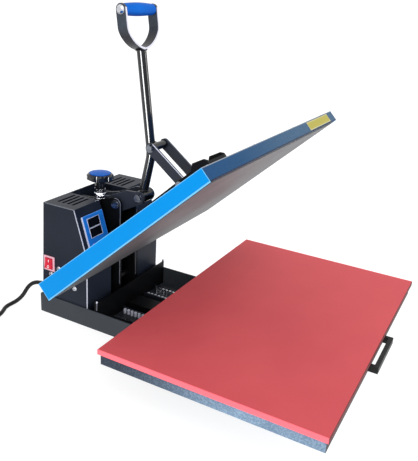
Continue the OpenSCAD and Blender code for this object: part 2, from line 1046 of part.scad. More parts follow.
module top_cover() {
    half = cover_w / 2 - trim_t;
    front = cover_front_y + trim_t;
    rear = closed_rear_y;
    skin = 1.5;
    low = closed_z + 2.4;
    color("#1488e0")
    on_platen()
    difference() {
        side_slab(-half, half)
        polygon([
            [front, low], [rear, low],
            [rear, closed_z + cover_h(rear)], [front, closed_z + cover_h(front)]
        ]);
        side_slab(-half + skin, half - skin)
        polygon([
            [front + skin, low - cut], [rear - skin, low - cut],
            [rear - skin, closed_z + cover_h(rear) - skin], [front + skin, closed_z + cover_h(front) - skin]
        ]);
        for (x = [-20, 20])
        for (y = [-110, 80])
        translate([x, y, closed_z])
        cylinder(r = 4, h = 60);
    }
}

module band_outline() {
    polygon([
        [cover_front_y + trim_t, closed_z + 1.2], [closed_rear_y, closed_z + 1.2],
        [closed_rear_y, closed_z + cover_rear_h],
        [cover_front_y + trim_t, closed_z + cover_h(cover_front_y + trim_t)]
    ]);
}

// Bright side bands with a lip folded under the cover
module side_bands() {
    outer = cover_w / 2;
    color("#00a0f5")
    on_platen()
    both_sides()
    union() {
        side_slab(outer - trim_t, outer) band_outline();
        block(
            [outer - 8, cover_front_y + 10, closed_z + 1.2],
            [outer - trim_t, closed_rear_y, closed_z + 2.4]
        );
    }
}

module front_band() {
    half = cover_w / 2;
    color("#345f85")
    on_platen()
    union() {
        block(
            [-half, cover_front_y, closed_z + 1.2],
            [half, cover_front_y + trim_t, closed_z + cover_front_h]
        );
        block(
            [-half + 10, cover_front_y + trim_t, closed_z + 1.2],
            [half - 10, cover_front_y + 8, closed_z + 2.4]
        );
    }
}

module front_label() {
    color("#f2d21b")
    on_platen()
    block([128, cover_front_y - 0.4, closed_z + 4], [250, cover_front_y, closed_z + 21.5]);
}

module ear_outline() {
    front = closed_rear_y - bracket_front_s;
    rear = closed_rear_y - 2;
    low_front = closed_z + cover_h(front);
    top = closed_z + arm_top_h;
    low_top = closed_z + ear_top_h;
    difference() {
        union() {
            polygon([
                [front, low_front], [closed_rear_y, closed_z + cover_rear_h], [hinge_y, hinge_z - 14],
                [hinge_y, hinge_z + 15], [rear - 40, low_top], [front + 42, low_top],
                [front + 30, top], [front + 6, top - 6], [front, top - 12]
            ]);
            translate([hinge_y, hinge_z]) circle(r = 15);
        }
        translate([hinge_y, hinge_z]) circle(r = hinge_r + run);
        translate([link_y, link_z]) circle(r = pin_r);
    }
}

// Channel on the cover: two long ears that run back to the hinge, a floor and a front wall
module platen_bracket() {
    front = closed_rear_y - bracket_front_s;
    rear = closed_rear_y - 4;
    floor_t = 4;
    color("#232427")
    on_platen()
    difference() {
        union() {
            both_slabs(ear_in, ear_t) ear_outline();
            side_slab(-ear_in, ear_in)
            polygon([
                [front, closed_z + cover_h(front)], [rear, closed_z + cover_h(rear)],
                [rear, closed_z + cover_h(rear) + floor_t], [front, closed_z + cover_h(front) + floor_t]
            ]);
            block(
                [-ear_in, front, closed_z + cover_h(front) + 1],
                [ear_in, front + floor_t, closed_z + arm_top_h - 14]
            );
        }
        for (x = [-20, 20])
        for (y = [-110, 80])
        translate([x, y, closed_z])
        cylinder(r = 4, h = 60);
    }
}

// Bolts from the channel down to the heat plate
module bracket_bolts() {
    color("silver")
    on_platen()
    for (x = [-20, 20])
    for (y = [-110, 80])
    translate([x, y, 0])
    union() {
        translate([0, 0, closed_z + 3]) cylinder(r = 4, h = cover_h(y) + 3);
        translate([0, 0, closed_z + cover_h(y) + 4.2]) cylinder(r = 6.5, h = 5.5, $fn = 6);
    }
}

module link_pin() {
    outer = ear_in + ear_t;
    color("silver")
    on_platen()
    union() {
        bar_x(pin_r, -outer, outer, link_y, link_z);
        bar_x(9, -outer - 5, -outer, link_y, link_z);
        translate([outer, link_y, link_z])
        rotate([0, 90, 0])
        cylinder(r = 8.5, h = 5, $fn = 6);
        bar_x(8.5, -bar_in + 0.4, bar_in - 0.4, link_y, link_z);
        both_sides()
        bar_x(8.5, bar_in + bar_t + 0.4, ear_in, link_y, link_z);
    }
}

// Heater lead from the hinge's end to the cover
module heater_lead() {
    lead_x = 42;
    color("#a8642a")
    on_platen()
    union() {
        bar_x(4.5, ear_in + ear_t + 3.6, bay_w / 2 - 2.5, hinge_y, hinge_z);
        tube(
            [
                [lead_x, hinge_y - 3, hinge_z], [lead_x, 172, 146], [lead_x, 156, 150],
                [lead_x, 140, 150], [lead_x + 2, 124, 146], [lead_x + 8, 110, 138],
                [lead_x + 12, 103, 132], [lead_x + 14, 101, closed_z + cover_h(101) + 1.4]
            ],
            2.8, 10
        );
    }
}

// ---------- drawer ----------

module lower_plate() {
    half = platen_w / 2 - pad_over;
    front = pad_front + pad_over;
    rear = pad_front + pad_d - pad_over;
    low = pad_top - pad_t - lower_t;
    high = pad_top - pad_t;
    color("#5f6b7a")
    union() {
        difference() {
            block([-half, front, low], [half, rear, high]);
            block([-half + 5, front + 5, low - cut], [half - 5, rear - 5, high - 5]);
        }
        for (x = [-180, -slide_x, slide_x, 180])
        block([x - 3, front + 4, low], [x + 3, rear - 4, high - 4]);
    }
}

module silicone_pad() {
    half = platen_w / 2;
    color("#c8565c")
    block([-half, pad_front, pad_top - pad_t], [half, pad_front + pad_d, pad_top]);
}

// Moving members of the slides, with webs and straps that carry the lower plate
module drawer_carriage() {
    low = pad_top - pad_t - lower_t;
    bar_top = 18;
    color("#3a3d42")
    union() {
        both_sides()
        union() {
            block([slide_x - 13, carriage_front, 6], [slide_x + 13, carriage_rear, bar_top]);
            block([slide_x - 3, carriage_front, bar_top], [slide_x + 3, carriage_rear, low - 3]);
            block([slide_x - 18, carriage_front, low - 3], [slide_x + 18, carriage_rear, low]);
        }
        for (y = [-235, -60])
        block([-slide_x - 17, y, low - 3], [slide_x + 17, y + 30, low]);
    }
}

// Bow handle on the drawer's front edge
module drawer_handle() {
    grip_half = 58;
    front = pad_front + pad_over;
    low = pad_top - pad_t - lower_t;
    color("#151515")
    union() {
        block([-grip_half, front - 17, low + 1], [grip_half, front - 9, low + 13]);
        both_sides()
        block([grip_half - 8, front - 10, low + 1], [grip_half, front, low + 13]);
    }
}

// ---------- what is drawn ----------

base_tray();
cross_plate();
centre_rail();
slide_rail_left();
slide_rail_right();
roller_strips();
upright_left();
upright_right();
upright_ties();
hinge_shaft();
arm_bolt();
arm_spacers();
thrust_block();
cabinet_left();
cabinet_right();
rear_cover();
cover_screws();
side_screws();
display_panel();
display_window();
switch_frame();
switch_rocker();
button_set();
button_down();
button_up();
control_board();
lead_grommet();
cord_gland();
power_cord();
cord_coil();
cord_tail();
plug();
pressure_screw();
pressure_knob();
knob_cap();
trunnion_nut();
pressure_arms();
lever_bolt();
lever_bush();
lever_tube();
handle_fork();
grip_bolt();
handle_grip();
link_bars();
elbow_bolts();
heat_plate();
heating_element();
insulation();
top_cover();
side_bands();
front_band();
front_label();
platen_bracket();
bracket_bolts();
link_pin();
heater_lead();
lower_plate();
silicone_pad();
drawer_carriage();
drawer_handle();
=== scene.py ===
"""Looks of the heat press: camera, materials, mains cord, fine detail and light round the CAD model."""

import math

import bmesh
import bpy
from mathutils import Matrix, Vector


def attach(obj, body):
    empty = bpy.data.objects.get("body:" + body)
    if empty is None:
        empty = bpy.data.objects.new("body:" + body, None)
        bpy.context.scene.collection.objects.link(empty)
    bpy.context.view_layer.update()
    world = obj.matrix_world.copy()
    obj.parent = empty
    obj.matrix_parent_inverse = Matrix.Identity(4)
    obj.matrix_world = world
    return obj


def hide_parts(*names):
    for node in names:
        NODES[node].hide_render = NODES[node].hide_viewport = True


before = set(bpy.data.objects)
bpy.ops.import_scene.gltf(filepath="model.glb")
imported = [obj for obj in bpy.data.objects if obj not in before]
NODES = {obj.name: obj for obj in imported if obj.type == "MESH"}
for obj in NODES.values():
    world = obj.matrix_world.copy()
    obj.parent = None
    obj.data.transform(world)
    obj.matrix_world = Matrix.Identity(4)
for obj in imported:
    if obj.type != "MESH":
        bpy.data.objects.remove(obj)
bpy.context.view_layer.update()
MM = 0.001
IMAGE_H = 461.0

# Driving sizes of the press, in millimetres and degrees: pairs are y and z
OPEN = 42.5
HINGE = (188.0, 140.0)
CLOSED_Z = 90.4
FRONT_H, REAR_H = 24.0, 35.0
COVER_FRONT, COVER_REAR = -275.0, 130.0
HALF_W = 284.0
SLOPE_Y, SLOPE_Z = 158.0, 151.0
BOX_TOP_Y, BOX_TOP_Z = 188.6, 246.0
BOX_HALF = 126.5
SWITCH = (254.5, 116.0)
SLIDE_X = 62.0
REAR_FOOT = (276.9, 2.0)
REAR_INSET = 10.4
SIDE_SCREWS = ((252.0, 92.5), (231.0, 109.5), (190.0, 76.0))
PIVOT = (112.0, 258.6)
SLEEVE_R = 13.2
ARM_PIN = (161.0, 238.0)
UPRIGHT_R = 12.0
BEND = (96.5, 349.0)
TUBE_TOP = (125.5, 548.0)
ELBOW = (81.806, 368.01)
LINK_PIN = (5.744, 310.262)
TUBE_R = 9.5
GRIP_H = 73.5
GRIP_HALF = 47.0
SLOPE_LEAN = math.degrees(math.atan2(BOX_TOP_Y - SLOPE_Y, BOX_TOP_Z - SLOPE_Z))
REAR_LEAN = math.atan2(REAR_INSET, BOX_TOP_Z - REAR_FOOT[1])
COVER_LEAN = math.atan2(REAR_H - FRONT_H, COVER_REAR - COVER_FRONT)
TUBE_LEAN = math.degrees(math.atan2(TUBE_TOP[0] - BEND[0], TUBE_TOP[1] - BEND[1]))
GRIP_Z = TUBE_TOP[1] + GRIP_H * math.cos(math.radians(TUBE_LEAN))

# ---------------------------------------------------------------- camera


def make_camera():
    """The photograph's camera: place in metres, turns in radians, focal length in pixels."""
    yaw, pitch, roll = 1.0958, 0.3367, 0.0617
    place = Vector((-0.9866, -0.5463, 0.6592))
    focal_px, centre_row = 607.7, 205.0
    level = math.cos(pitch)
    ahead = Vector((math.sin(yaw) * level, math.cos(yaw) * level, -math.sin(pitch)))
    right = Vector((math.cos(yaw), -math.sin(yaw), 0))
    up = right.cross(ahead)
    side = right * math.cos(roll) + up * math.sin(roll)
    top = up * math.cos(roll) - right * math.sin(roll)
    data = bpy.data.cameras.new("camera")
    data.sensor_width = 36
    data.lens = focal_px * 36 / IMAGE_H
    data.shift_y = (centre_row - IMAGE_H / 2) / IMAGE_H
    data.clip_start, data.clip_end = 0.02, 60
    camera = bpy.data.objects.new("camera", data)
    axes = Matrix((side, top, -ahead)).transposed()
    camera.matrix_world = Matrix.Translation(place) @ axes.to_4x4()
    bpy.context.scene.collection.objects.link(camera)
    bpy.context.scene.camera = camera


make_camera()

# ---------------------------------------------------------------- materials


def linear(value):
    """A linear share from a 0 to 255 screen value (sRGB curve, straight below 10)."""
    share = value / 255
    return share / 12.92 if value <= 10 else ((share + 0.055) / 1.055) ** 2.4


def tone(r, g, b):
    """A linear colour from 0 to 255 screen values."""
    return (linear(r), linear(g), linear(b), 1)


def scaled(colour, k):
    """A colour made k times as bright."""
    return tuple(min(1.0, c * k) for c in colour[:3]) + (1,)


class Shade:
    """One procedural material, built node by node on Blender's principled shader."""

    def __init__(self, name, **sockets):
        self.material = bpy.data.materials.new(name)
        self.material.use_nodes = True
        self.tree = self.material.node_tree
        self.shader = self.tree.nodes["Principled BSDF"]
        for key, value in sockets.items():
            self.shader.inputs[key.replace("_", " ")].default_value = value
        self.where = self.node("ShaderNodeTexCoord").outputs["Object"]

    def node(self, kind, **attributes):
        n = self.tree.nodes.new(kind)
        for key, value in attributes.items():
            setattr(n, key, value)
        return n

    def put(self, socket, value):
        if hasattr(value, "is_output"):
            self.tree.links.new(value, socket)
        else:
            socket.default_value = value

    def moved(self, scale=(1, 1, 1), turn=(0, 0, 0), shift=(0, 0, 0)):
        """The object's own coordinates, scaled, then turned, then shifted."""
        n = self.node("ShaderNodeMapping")
        self.put(n.inputs["Vector"], self.where)
        n.inputs["Scale"].default_value = scale
        n.inputs["Rotation"].default_value = turn
        n.inputs["Location"].default_value = shift
        return n.outputs[0]

    def noise(self, scale, detail=3.0, rough=0.55, source=None):
        n = self.node("ShaderNodeTexNoise")
        self.put(n.inputs["Vector"], source or self.where)
        n.inputs["Scale"].default_value = scale
        n.inputs["Detail"].default_value = detail
        n.inputs["Roughness"].default_value = rough
        return n.outputs["Fac"]

    def cells(self, scale, feature="SMOOTH_F1"):
        n = self.node("ShaderNodeTexVoronoi", feature=feature)
        self.put(n.inputs["Vector"], self.where)
        n.inputs["Scale"].default_value = scale
        return n.outputs["Distance"]

    def span(self, value, low, high, to_low=0.0, to_high=1.0, smooth=False):
        """The value mapped from low..high to to_low..to_high, and held at the ends."""
        n = self.node("ShaderNodeMapRange", interpolation_type="SMOOTHSTEP" if smooth else "LINEAR")
        limits = {"From Min": low, "From Max": high, "To Min": to_low, "To Max": to_high}
        self.put(n.inputs["Value"], value)
        for key, limit in limits.items():
            self.put(n.inputs[key], limit)
        return n.outputs[0]

    def calc(self, kind, a, b):
        n = self.node("ShaderNodeMath", operation=kind)
        self.put(n.inputs[0], a)
        self.put(n.inputs[1], b)
        return n.outputs[0]

    def coordinate(self, axis, source=None):
        n = self.node("ShaderNodeSeparateXYZ")
        self.put(n.inputs[0], source or self.where)
        return n.outputs["XYZ".index(axis)]

    def absolute(self, value):
        return self.calc("ABSOLUTE", value, 0.0)

    def mixed(self, fac, a, b):
        n = self.node("ShaderNodeMix", data_type="RGBA")
        self.put(n.inputs["Factor"], fac)
        self.put(n.inputs[6], a)
        self.put(n.inputs[7], b)
        return n.outputs[2]

    def colour(self, value):
        self.put(self.shader.inputs["Base Color"], value)

    def rough(self, value):
        self.put(self.shader.inputs["Roughness"], value)

    def bump(self, height, depth, strength=1.0):
        """Relief of a depth in metres, from a height of 0 to 1."""
        n = self.node("ShaderNodeBump")
        n.inputs["Strength"].default_value = strength
        n.inputs["Distance"].default_value = depth
        self.put(n.inputs["Height"], height)
        self.put(self.shader.inputs["Normal"], n.outputs[0])


def painted(
    name, colour, rough=0.42, vary=0.12, grain=900.0, depth=0.00004, patch=22.0, **sockets
):
    """Powder coat or moulded plastic: fine orange peel, with slow changes of tone and gloss."""
    s = Shade(name, **sockets)
    slow = s.noise(patch, 4.0)
    fine = s.noise(grain, 2.0)
    base = s.mixed(s.span(slow, 0.3, 0.7), scaled(colour, 1 - vary), scaled(colour, 1 + vary))
    s.colour(s.mixed(s.span(fine, 0.62, 0.8, 0.0, 0.35), base, scaled(colour, 1.5 + vary)))
    s.rough(s.span(slow, 0.25, 0.75, rough * 0.85, rough * 1.15))
    s.bump(fine, depth)
    return s


def brushed(name, colour, rough=0.28, along="X", **sockets):
    """Turned or drawn metal with fine lines along one axis."""
    s = Shade(name, Metallic=1.0, **sockets)
    stretch = [900.0] * 3
    stretch["XYZ".index(along)] = 12.0
    lines = s.noise(1.0, 3.0, 0.6, s.moved(stretch))
    s.colour(s.mixed(s.span(lines, 0.3, 0.7), scaled(colour, 0.8), scaled(colour, 1.12)))
    s.rough(s.span(lines, 0.3, 0.7, rough - 0.08, rough + 0.1))
    s.bump(lines, 0.00002)
    return s


def turned_back(s, origin, degrees):
    """Coordinates in a frame that leans back about X through an origin, in metres."""
    turn = math.radians(degrees)
    back = Matrix.Rotation(turn, 4, "X") @ Matrix.Translation(-Vector(origin))
    return s.moved(turn=(turn, 0, 0), shift=back.to_translation())


S = {}
S["tray"] = painted("tray_paint", tone(58, 62, 67), 0.5, 0.08, IOR=1.2)
S["black"] = painted("black_steel", tone(11, 12, 14), 0.4, 0.2, IOR=1.2)
S["dark"] = painted("dark_steel", tone(40, 44, 54), 0.36, 0.18, Specular_IOR_Level=0.25)
S["rail"] = painted("rail_steel", tone(30, 32, 38), 0.3, 0.25, Specular_IOR_Level=0.4)
S["carriage"] = painted("carriage_paint", tone(28, 30, 34), 0.42, 0.15, Specular_IOR_Level=0.25)
S["steel"] = brushed("bright_steel", tone(214, 216, 222), 0.22, "X")
S["bolt"] = brushed("blackened_bolt", tone(112, 116, 124), 0.2, "Y")
S["chrome"] = brushed("screw_chrome", tone(222, 224, 230), 0.12, "Z")
S["cabinet"] = painted("cabinet_paint", tone(30, 35, 46), 0.36, 0.14, patch=12.0, IOR=1.2)
S["window"] = painted("window_black", tone(12, 14, 20), 0.14, 0.2, Specular_IOR_Level=0.4)
S["white"] = painted("switch_white", tone(222, 168, 180), 0.35, 0.04)
S["button"] = painted("button_violet", tone(138, 128, 222), 0.4, 0.06)
S["board"] = painted("board_green", tone(30, 96, 52), 0.4, 0.2)
S["plastic"] = painted("black_plastic", tone(20, 20, 21), 0.5, 0.15, Specular_IOR_Level=0.25)
S["knob"] = painted("knob_black", tone(8, 9, 11), 0.12, 0.15, depth=0.000004, Specular_IOR_Level=0.5)
S["cap"] = painted("knob_blue", tone(16, 88, 176), 0.34, 0.1, patch=60.0, depth=0.00001, IOR=1.15)
S["bronze"] = brushed("bush_bronze", tone(176, 138, 82), 0.35, "X")
S["lever"] = painted("lever_paint", tone(8, 9, 11), 0.1, 0.15, depth=0.000004, Specular_IOR_Level=0.5)
S["element"] = painted("element_steel", tone(86, 78, 72), 0.5, 0.2)
S["wool"] = painted("glass_wool", tone(214, 203, 166), 0.9, 0.12, 500.0, 0.0006)
S["cover"] = painted("cover_paint", tone(8, 112, 200), 0.36, 0.05, Specular_IOR_Level=0.3)
S["band"] = painted("band_paint", tone(0, 130, 204), 0.45, 0.02, IOR=1.15)
# painted highlight round the side bands
S["band_highlight"] = painted("band_highlight_paint", tone(110, 184, 232), 0.35, 0.05, IOR=1.2)
# pale paint: a painted highlight on the cabinets' front edges, the link bars' upper edges, the plate
# studs and the inner rollers; print on the window lines
S["edge"] = painted("pale_print_and_painted_highlight", tone(206, 208, 222), 0.3, 0.06)
# grey painted highlight on the cabinets' top edges, the uprights' front edges and the cross plate's
# ends
S["grey_painted_highlight"] = painted("grey_painted_highlight", tone(112, 116, 126), 0.34, 0.1)
S["lead"] = painted("lead_sleeve", tone(150, 84, 44), 0.6, 0.2, 900.0, 0.0001)
S["cord"] = painted("cord_rubber", tone(22, 22, 23), 0.5, 0.12, Specular_IOR_Level=0.25)
# painted shade: dark crosses in place of the screws' cross recesses
S["slot"] = painted("slot_black", tone(28, 28, 30), 0.6, 0.2, Specular_IOR_Level=0.2)


def border(s, pairs, width):
    """1 inside the border of a rectangle, from pairs of a coordinate and its two limits."""
    inside = 1.0
    for value, low, high in pairs:
        inside = s.calc("MULTIPLY", inside, s.span(value, low, low + width))
        inside = s.calc("MULTIPLY", inside, s.span(value, high, high - width))
    return s.calc("SUBTRACT", 1.0, inside)


def rocker_red():
    """Red rocker with a white bar above and a white ring below, the plain on and off marks."""
    s = Shade("switch_red", IOR=1.35)
    mark_gap, ring_radius = 0.006, 0.0021
    slow = s.noise(60.0, 3.0)
    y = s.calc("SUBTRACT", s.coordinate("Y"), SWITCH[0] * MM)
    z = s.calc("SUBTRACT", s.coordinate("Z"), SWITCH[1] * MM)
    above = s.calc("SUBTRACT", z, mark_gap)
    bar_width = s.span(s.absolute(y), 0.0009, 0.0007)
    bar_height = s.span(s.absolute(above), 0.0028, 0.0025)
    bar = s.calc("MULTIPLY", bar_width, bar_height)
    below = s.calc("ADD", z, mark_gap)
    squares = s.calc("ADD", s.calc("MULTIPLY", y, y), s.calc("MULTIPLY", below, below))
    from_ring = s.calc("SUBTRACT", s.calc("SQRT", squares, 0.0), ring_radius)
    ring = s.span(s.absolute(from_ring), 0.0006, 0.0004)
    base = s.mixed(s.span(slow, 0.3, 0.7), tone(186, 16, 44), tone(206, 24, 54))
    s.colour(s.mixed(s.calc("MAXIMUM", bar, ring), base, tone(240, 232, 236)))
    s.rough(s.span(slow, 0.3, 0.7, 0.22, 0.32))
    return s


def panel_film():
    """Printed blue film, with a painted highlight: a paler line round its edges, and an almost white
    left edge.
    """
    s = Shade("panel_film", Specular_IOR_Level=0.3)
    at = turned_back(s, (0, SLOPE_Y * MM, SLOPE_Z * MM), SLOPE_LEAN)
    slow = s.noise(30.0, 3.0)
    fine = s.noise(900.0, 2.0)
    film = [(s.coordinate("X"), -0.1115, -0.05), (s.coordinate("Z", at), 0.002, 0.0805)]
    # painted highlight: a paler line round the film's edges
    rim = border(s, film, 0.0016)
    base = s.mixed(s.span(slow, 0.3, 0.7), tone(14, 102, 186), tone(26, 122, 208))
    base = s.mixed(s.span(rim, 0.4, 0.6), base, tone(96, 156, 236))
    # painted highlight: the left edge almost white
    s.colour(s.mixed(s.span(s.coordinate("X"), -0.1117, -0.1119), base, tone(218, 220, 238)))
    s.rough(s.span(fine, 0.3, 0.7, 0.32, 0.44))
    s.bump(fine, 0.00002)
    return s


def underside():
    """Ground aluminium plate: warm grey, with faint lines across it and slow heat stains."""
    s = Shade("plate_underside", Metallic=0.35)
    slow = s.noise(5.0, 4.0)
    lines = s.noise(1.0, 3.0, 0.6, s.moved((10.0, 700.0, 700.0)))
    base = s.mixed(s.span(slow, 0.3, 0.7), tone(84, 90, 94), tone(100, 106, 110))
    s.colour(s.mixed(s.span(lines, 0.4, 0.8, 0.0, 0.4), base, tone(74, 78, 82)))
    s.rough(s.span(lines, 0.2, 0.8, 0.42, 0.6))
    s.bump(lines, 0.00002)
    return s


def front_paint():
    """Cover front in painted shade: flat deep blue at the near end, greyer and speckled towards the far
    end.
    """
    s = Shade("front_paint", IOR=1.2)
    at = turned_back(s, (0, HINGE[0] * MM, HINGE[1] * MM), OPEN)
    height = s.coordinate("Z", at)
    low, high = (CLOSED_Z + 1.2 - HINGE[1]) * MM, (CLOSED_Z + FRONT_H - HINGE[1]) * MM
    along = s.span(s.coordinate("X"), -0.29, 0.1, smooth=True)
    speckle = s.cells(300.0)
    # painted shade: the front is the cover's blue made darker, greyer towards the far end
    base = s.mixed(along, tone(8, 60, 100), tone(36, 70, 98))
    fleck = s.calc("MULTIPLY", s.span(speckle, 0.2, 0.7), s.span(along, 0.2, 1.0, 0.0, 0.5))
    base = s.mixed(fleck, base, tone(80, 106, 132))
    # painted highlight along the top edge
    base = s.mixed(s.span(height, high - 0.0016, high - 0.001), base, tone(132, 138, 146))
    # painted shadow along the bottom edge, over the gap below it
    s.colour(s.mixed(s.span(height, low + 0.0022, low + 0.0014), base, tone(24, 38, 62)))
    s.rough(s.span(speckle, 0.1, 0.7, 0.36, 0.52))
    s.bump(speckle, 0.0002, 0.5)
    return s


def label_film():
    """Plain yellow label with a cream border."""
    s = Shade("label_yellow")
    at = turned_back(s, (0, HINGE[0] * MM, HINGE[1] * MM), OPEN)
    low, high = (CLOSED_Z + 4 - HINGE[1]) * MM, (CLOSED_Z + 21.5 - HINGE[1]) * MM
    rim = border(s, [(s.coordinate("X"), 0.128, 0.25), (s.coordinate("Z", at), low, high)], 0.004)
    fine = s.noise(600.0, 2.0)
    base = s.mixed(s.span(fine, 0.3, 0.7), tone(140, 132, 10), tone(158, 146, 22))
    s.colour(s.mixed(s.span(rim, 0.5, 0.6), base, tone(168, 162, 112)))
    s.rough(s.span(fine, 0.3, 0.7, 0.35, 0.5))
    return s


def fork_paint():
    """Grey paint on the bent strap, with a painted highlight along its front edge."""
    s = Shade("fork_paint", IOR=1.35)
    at = turned_back(s, (0, TUBE_TOP[0] * MM, TUBE_TOP[1] * MM), TUBE_LEAN)
    slow = s.noise(24.0, 4.0)
    fine = s.noise(900.0, 2.0)
    base = s.mixed(s.span(slow, 0.3, 0.7), tone(44, 50, 58), tone(58, 66, 76))
    low = s.span(s.coordinate("Z", at), 0.012, 0.05, smooth=True)
    base = s.mixed(low, tone(34, 32, 36), base)
    # painted highlight: the strap's front edge made pale
    s.colour(s.mixed(s.span(s.coordinate("Y", at), -0.0102, -0.0107), base, tone(200, 198, 206)))
    s.rough(s.span(slow, 0.25, 0.75, 0.24, 0.36))
    s.bump(fine, 0.00004)
    return s


def grip_foam():
    """Blue grip: painted shade on its underside, with a fine grain."""
    s = Shade("grip_blue", IOR=1.12)
    slow = s.noise(20.0, 3.0)
    fine = s.noise(1400.0, 2.0)
    base = s.mixed(s.span(slow, 0.3, 0.7), tone(0, 78, 164), tone(2, 90, 180))
    # painted shade: the underside darker
    below = s.span(s.coordinate("Z"), GRIP_Z * MM - 0.004, GRIP_Z * MM - 0.012)
    s.colour(s.mixed(below, base, tone(2, 66, 150)))
    s.rough(s.span(fine, 0.3, 0.7, 0.36, 0.5))
    s.bump(fine, 0.00005)
    return s


def hammered():
    """Hammered paint: shallow round dimples, with a painted reflection that makes it paler and bluer
    towards the front, and painted shade on the front face.
    """
    s = Shade("hammered_paint", IOR=1.25)
    dimple = s.cells(420.0)
    slow = s.noise(9.0, 4.0)
    fine = s.noise(700.0, 2.0)
    # painted reflection: paler and bluer towards the front
    front = s.span(s.coordinate("Y"), -0.02, -0.3, smooth=True)
    shade = s.mixed(front, tone(38, 42, 50), tone(112, 138, 164))
    flecks = s.mixed(front, tone(66, 76, 92), tone(150, 174, 198))
    shade = s.mixed(s.span(dimple, 0.25, 0.6, 0.0, 0.8), shade, flecks)
    shade = s.mixed(s.span(slow, 0.35, 0.7, 0.0, 0.4), shade, tone(50, 60, 76))
    # painted shade on the front face
    s.colour(s.mixed(s.span(s.coordinate("Y"), -0.3935, -0.39385), shade, tone(40, 34, 34)))
    s.rough(s.span(fine, 0.3, 0.7, 0.42, 0.6))
    s.bump(dimple, 0.0003, 0.6)
    return s


def silicone():
    """Dusty red silicone rubber, with a painted highlight in bright pink on its side edges and painted
    shade on its front edge.
    """
    s = Shade("silicone", IOR=1.25)
    slow = s.noise(7.0, 5.0)
    fine = s.noise(1100.0, 2.0)
    pores = s.cells(520.0, feature="F1")
    top = s.mixed(s.span(slow, 0.3, 0.7), tone(190, 74, 80), tone(198, 82, 86))
    top = s.mixed(s.span(fine, 0.6, 0.8, 0.0, 0.2), top, tone(216, 108, 110))
    # painted highlight on the side edges
    top = s.mixed(s.span(s.absolute(s.coordinate("X")), 0.2905, 0.2915), top, tone(255, 112, 124))
    # painted shade on the front edge
    s.colour(s.mixed(s.span(s.coordinate("Y"), -0.3968, -0.3974), top, tone(92, 44, 46)))
    s.rough(s.span(slow, 0.2, 0.8, 0.55, 0.7))
    s.bump(pores, 0.0001, 0.5)
    return s


S["red"] = rocker_red()
S["panel"] = panel_film()
S["under"] = underside()
S["front"] = front_paint()
S["label"] = label_film()
S["fork"] = fork_paint()
S["grip"] = grip_foam()
S["hammered"] = hammered()
S["silicone"] = silicone()

LOOKS = {
    "tray": "base_tray",
    "black": (
        "cross_plate upright_left upright_right upright_ties thrust_block platen_bracket centre_rail"
    ),
    "dark": "pressure_arms link_bars",
    "rail": "slide_rail_left slide_rail_right",
    "carriage": "drawer_carriage",
    "steel": "roller_strips hinge_shaft arm_spacers side_screws trunnion_nut grip_bolt",
    "bolt": "arm_bolt lever_bolt elbow_bolts link_pin bracket_bolts cover_screws",
    "chrome": "pressure_screw",
    "cabinet": "cabinet_left cabinet_right rear_cover",
    "panel": "display_panel",
    "window": "display_window",
    "white": "switch_frame",
    "red": "switch_rocker",
    "button": "button_set button_down button_up",
    "board": "control_board",
    "plastic": "lead_grommet cord_gland plug drawer_handle",
    "knob": "pressure_knob",
    "cap": "knob_cap",
    "bronze": "lever_bush",
    "lever": "lever_tube",
    "fork": "handle_fork",
    "grip": "handle_grip",
    "under": "heat_plate",
    "element": "heating_element",
    "wool": "insulation",
    "cover": "top_cover",
    "band": "side_bands",
    "front": "front_band",
    "label": "front_label",
    "lead": "heater_lead",
    "hammered": "lower_plate",
    "silicone": "silicone_pad",
    "cord": "power_cord cord_coil cord_tail",
}
for look, names in LOOKS.items():
    for name in names.split():
        NODES[name].data.materials.clear()
        NODES[name].data.materials.append(S[look].material)


# ---------------------------------------------------------------- mains cord

# The route from the gland to the coil, given point by point, and the tail from the coil to the plug
CORD_D = 8.6 * MM
ROUTE = [
    (-108, 300, 50), (-108, 304, 50), (-108.5, 312, 48), (-110.5, 320.5, 44), (-112.5, 328.5, 36.5),
    (-115.5, 334, 27.5), (-120.5, 337.5, 18), (-127.5, 340.5, 11), (-137, 343.5, 6.2),
    (-148, 345.5, 4.5), (-158.5, 345.5, 4.5), (-169.5, 343, 4.5), (-179, 338, 4.5),
    (-189, 333.5, 4.5), (-200, 330.5, 4.5), (-211, 329, 4.5), (-222, 328.5, 4.5), (-234, 328.5, 4.5),
]
TAIL = [(-241, 432.1, 13.1), (-232, 432, 12.8), (-221, 432, 12.5)]
# The coil: its centre, the radii of its two rings and the heights of its two layers
COIL = (-252.0, 380.3)
INNER, OUTER = 43.2, 51.8
LOW, HIGH = 4.5, 13.1


def smooth_line(points, step=5):
    """A Catmull-Rom line through the points."""
    p = [Vector(q) for q in points]
    out = []
    for i in range(len(p) - 1):
        a, b, c, d = p[max(i - 1, 0)], p[i], p[i + 1], p[min(i + 2, len(p) - 1)]
        for k in range(step):
            t = k / step
            square = (2 * a - 5 * b + 4 * c - d) * t**2
            cube = (3 * b - a - 3 * c + d) * t**3
            out.append(0.5 * (2 * b + (c - a) * t + square + cube))
    return out + [p[-1]]


def eased(t):
    """0 to 1, slow at both ends."""
    t = min(max(t, 0.0), 1.0)
    return t * t * (3 - 2 * t)


def coil_line():
    """Four and a half turns, clockwise from the coil's front: out, in, up, and out again."""
    line = []
    turns, steps = 4.5, 40
    go_in, go_out, shift_turns = 0.85, 2.85, 0.3
    go_up, climb_turns = 1.8, 0.4
    for k in range(int(turns * steps) + 1):
        turn = k / steps
        inward = eased((turn - go_in) / shift_turns) - eased((turn - go_out) / shift_turns)
        radius = OUTER + (INNER - OUTER) * inward
        height = LOW + (HIGH - LOW) * eased((turn - go_up) / climb_turns)
        angle = -math.pi / 2 - 2 * math.pi * turn
        x = COIL[0] + radius * math.cos(angle)
        y = COIL[1] + radius * math.sin(angle)
        line.append(Vector((x, y, height)))
    return line


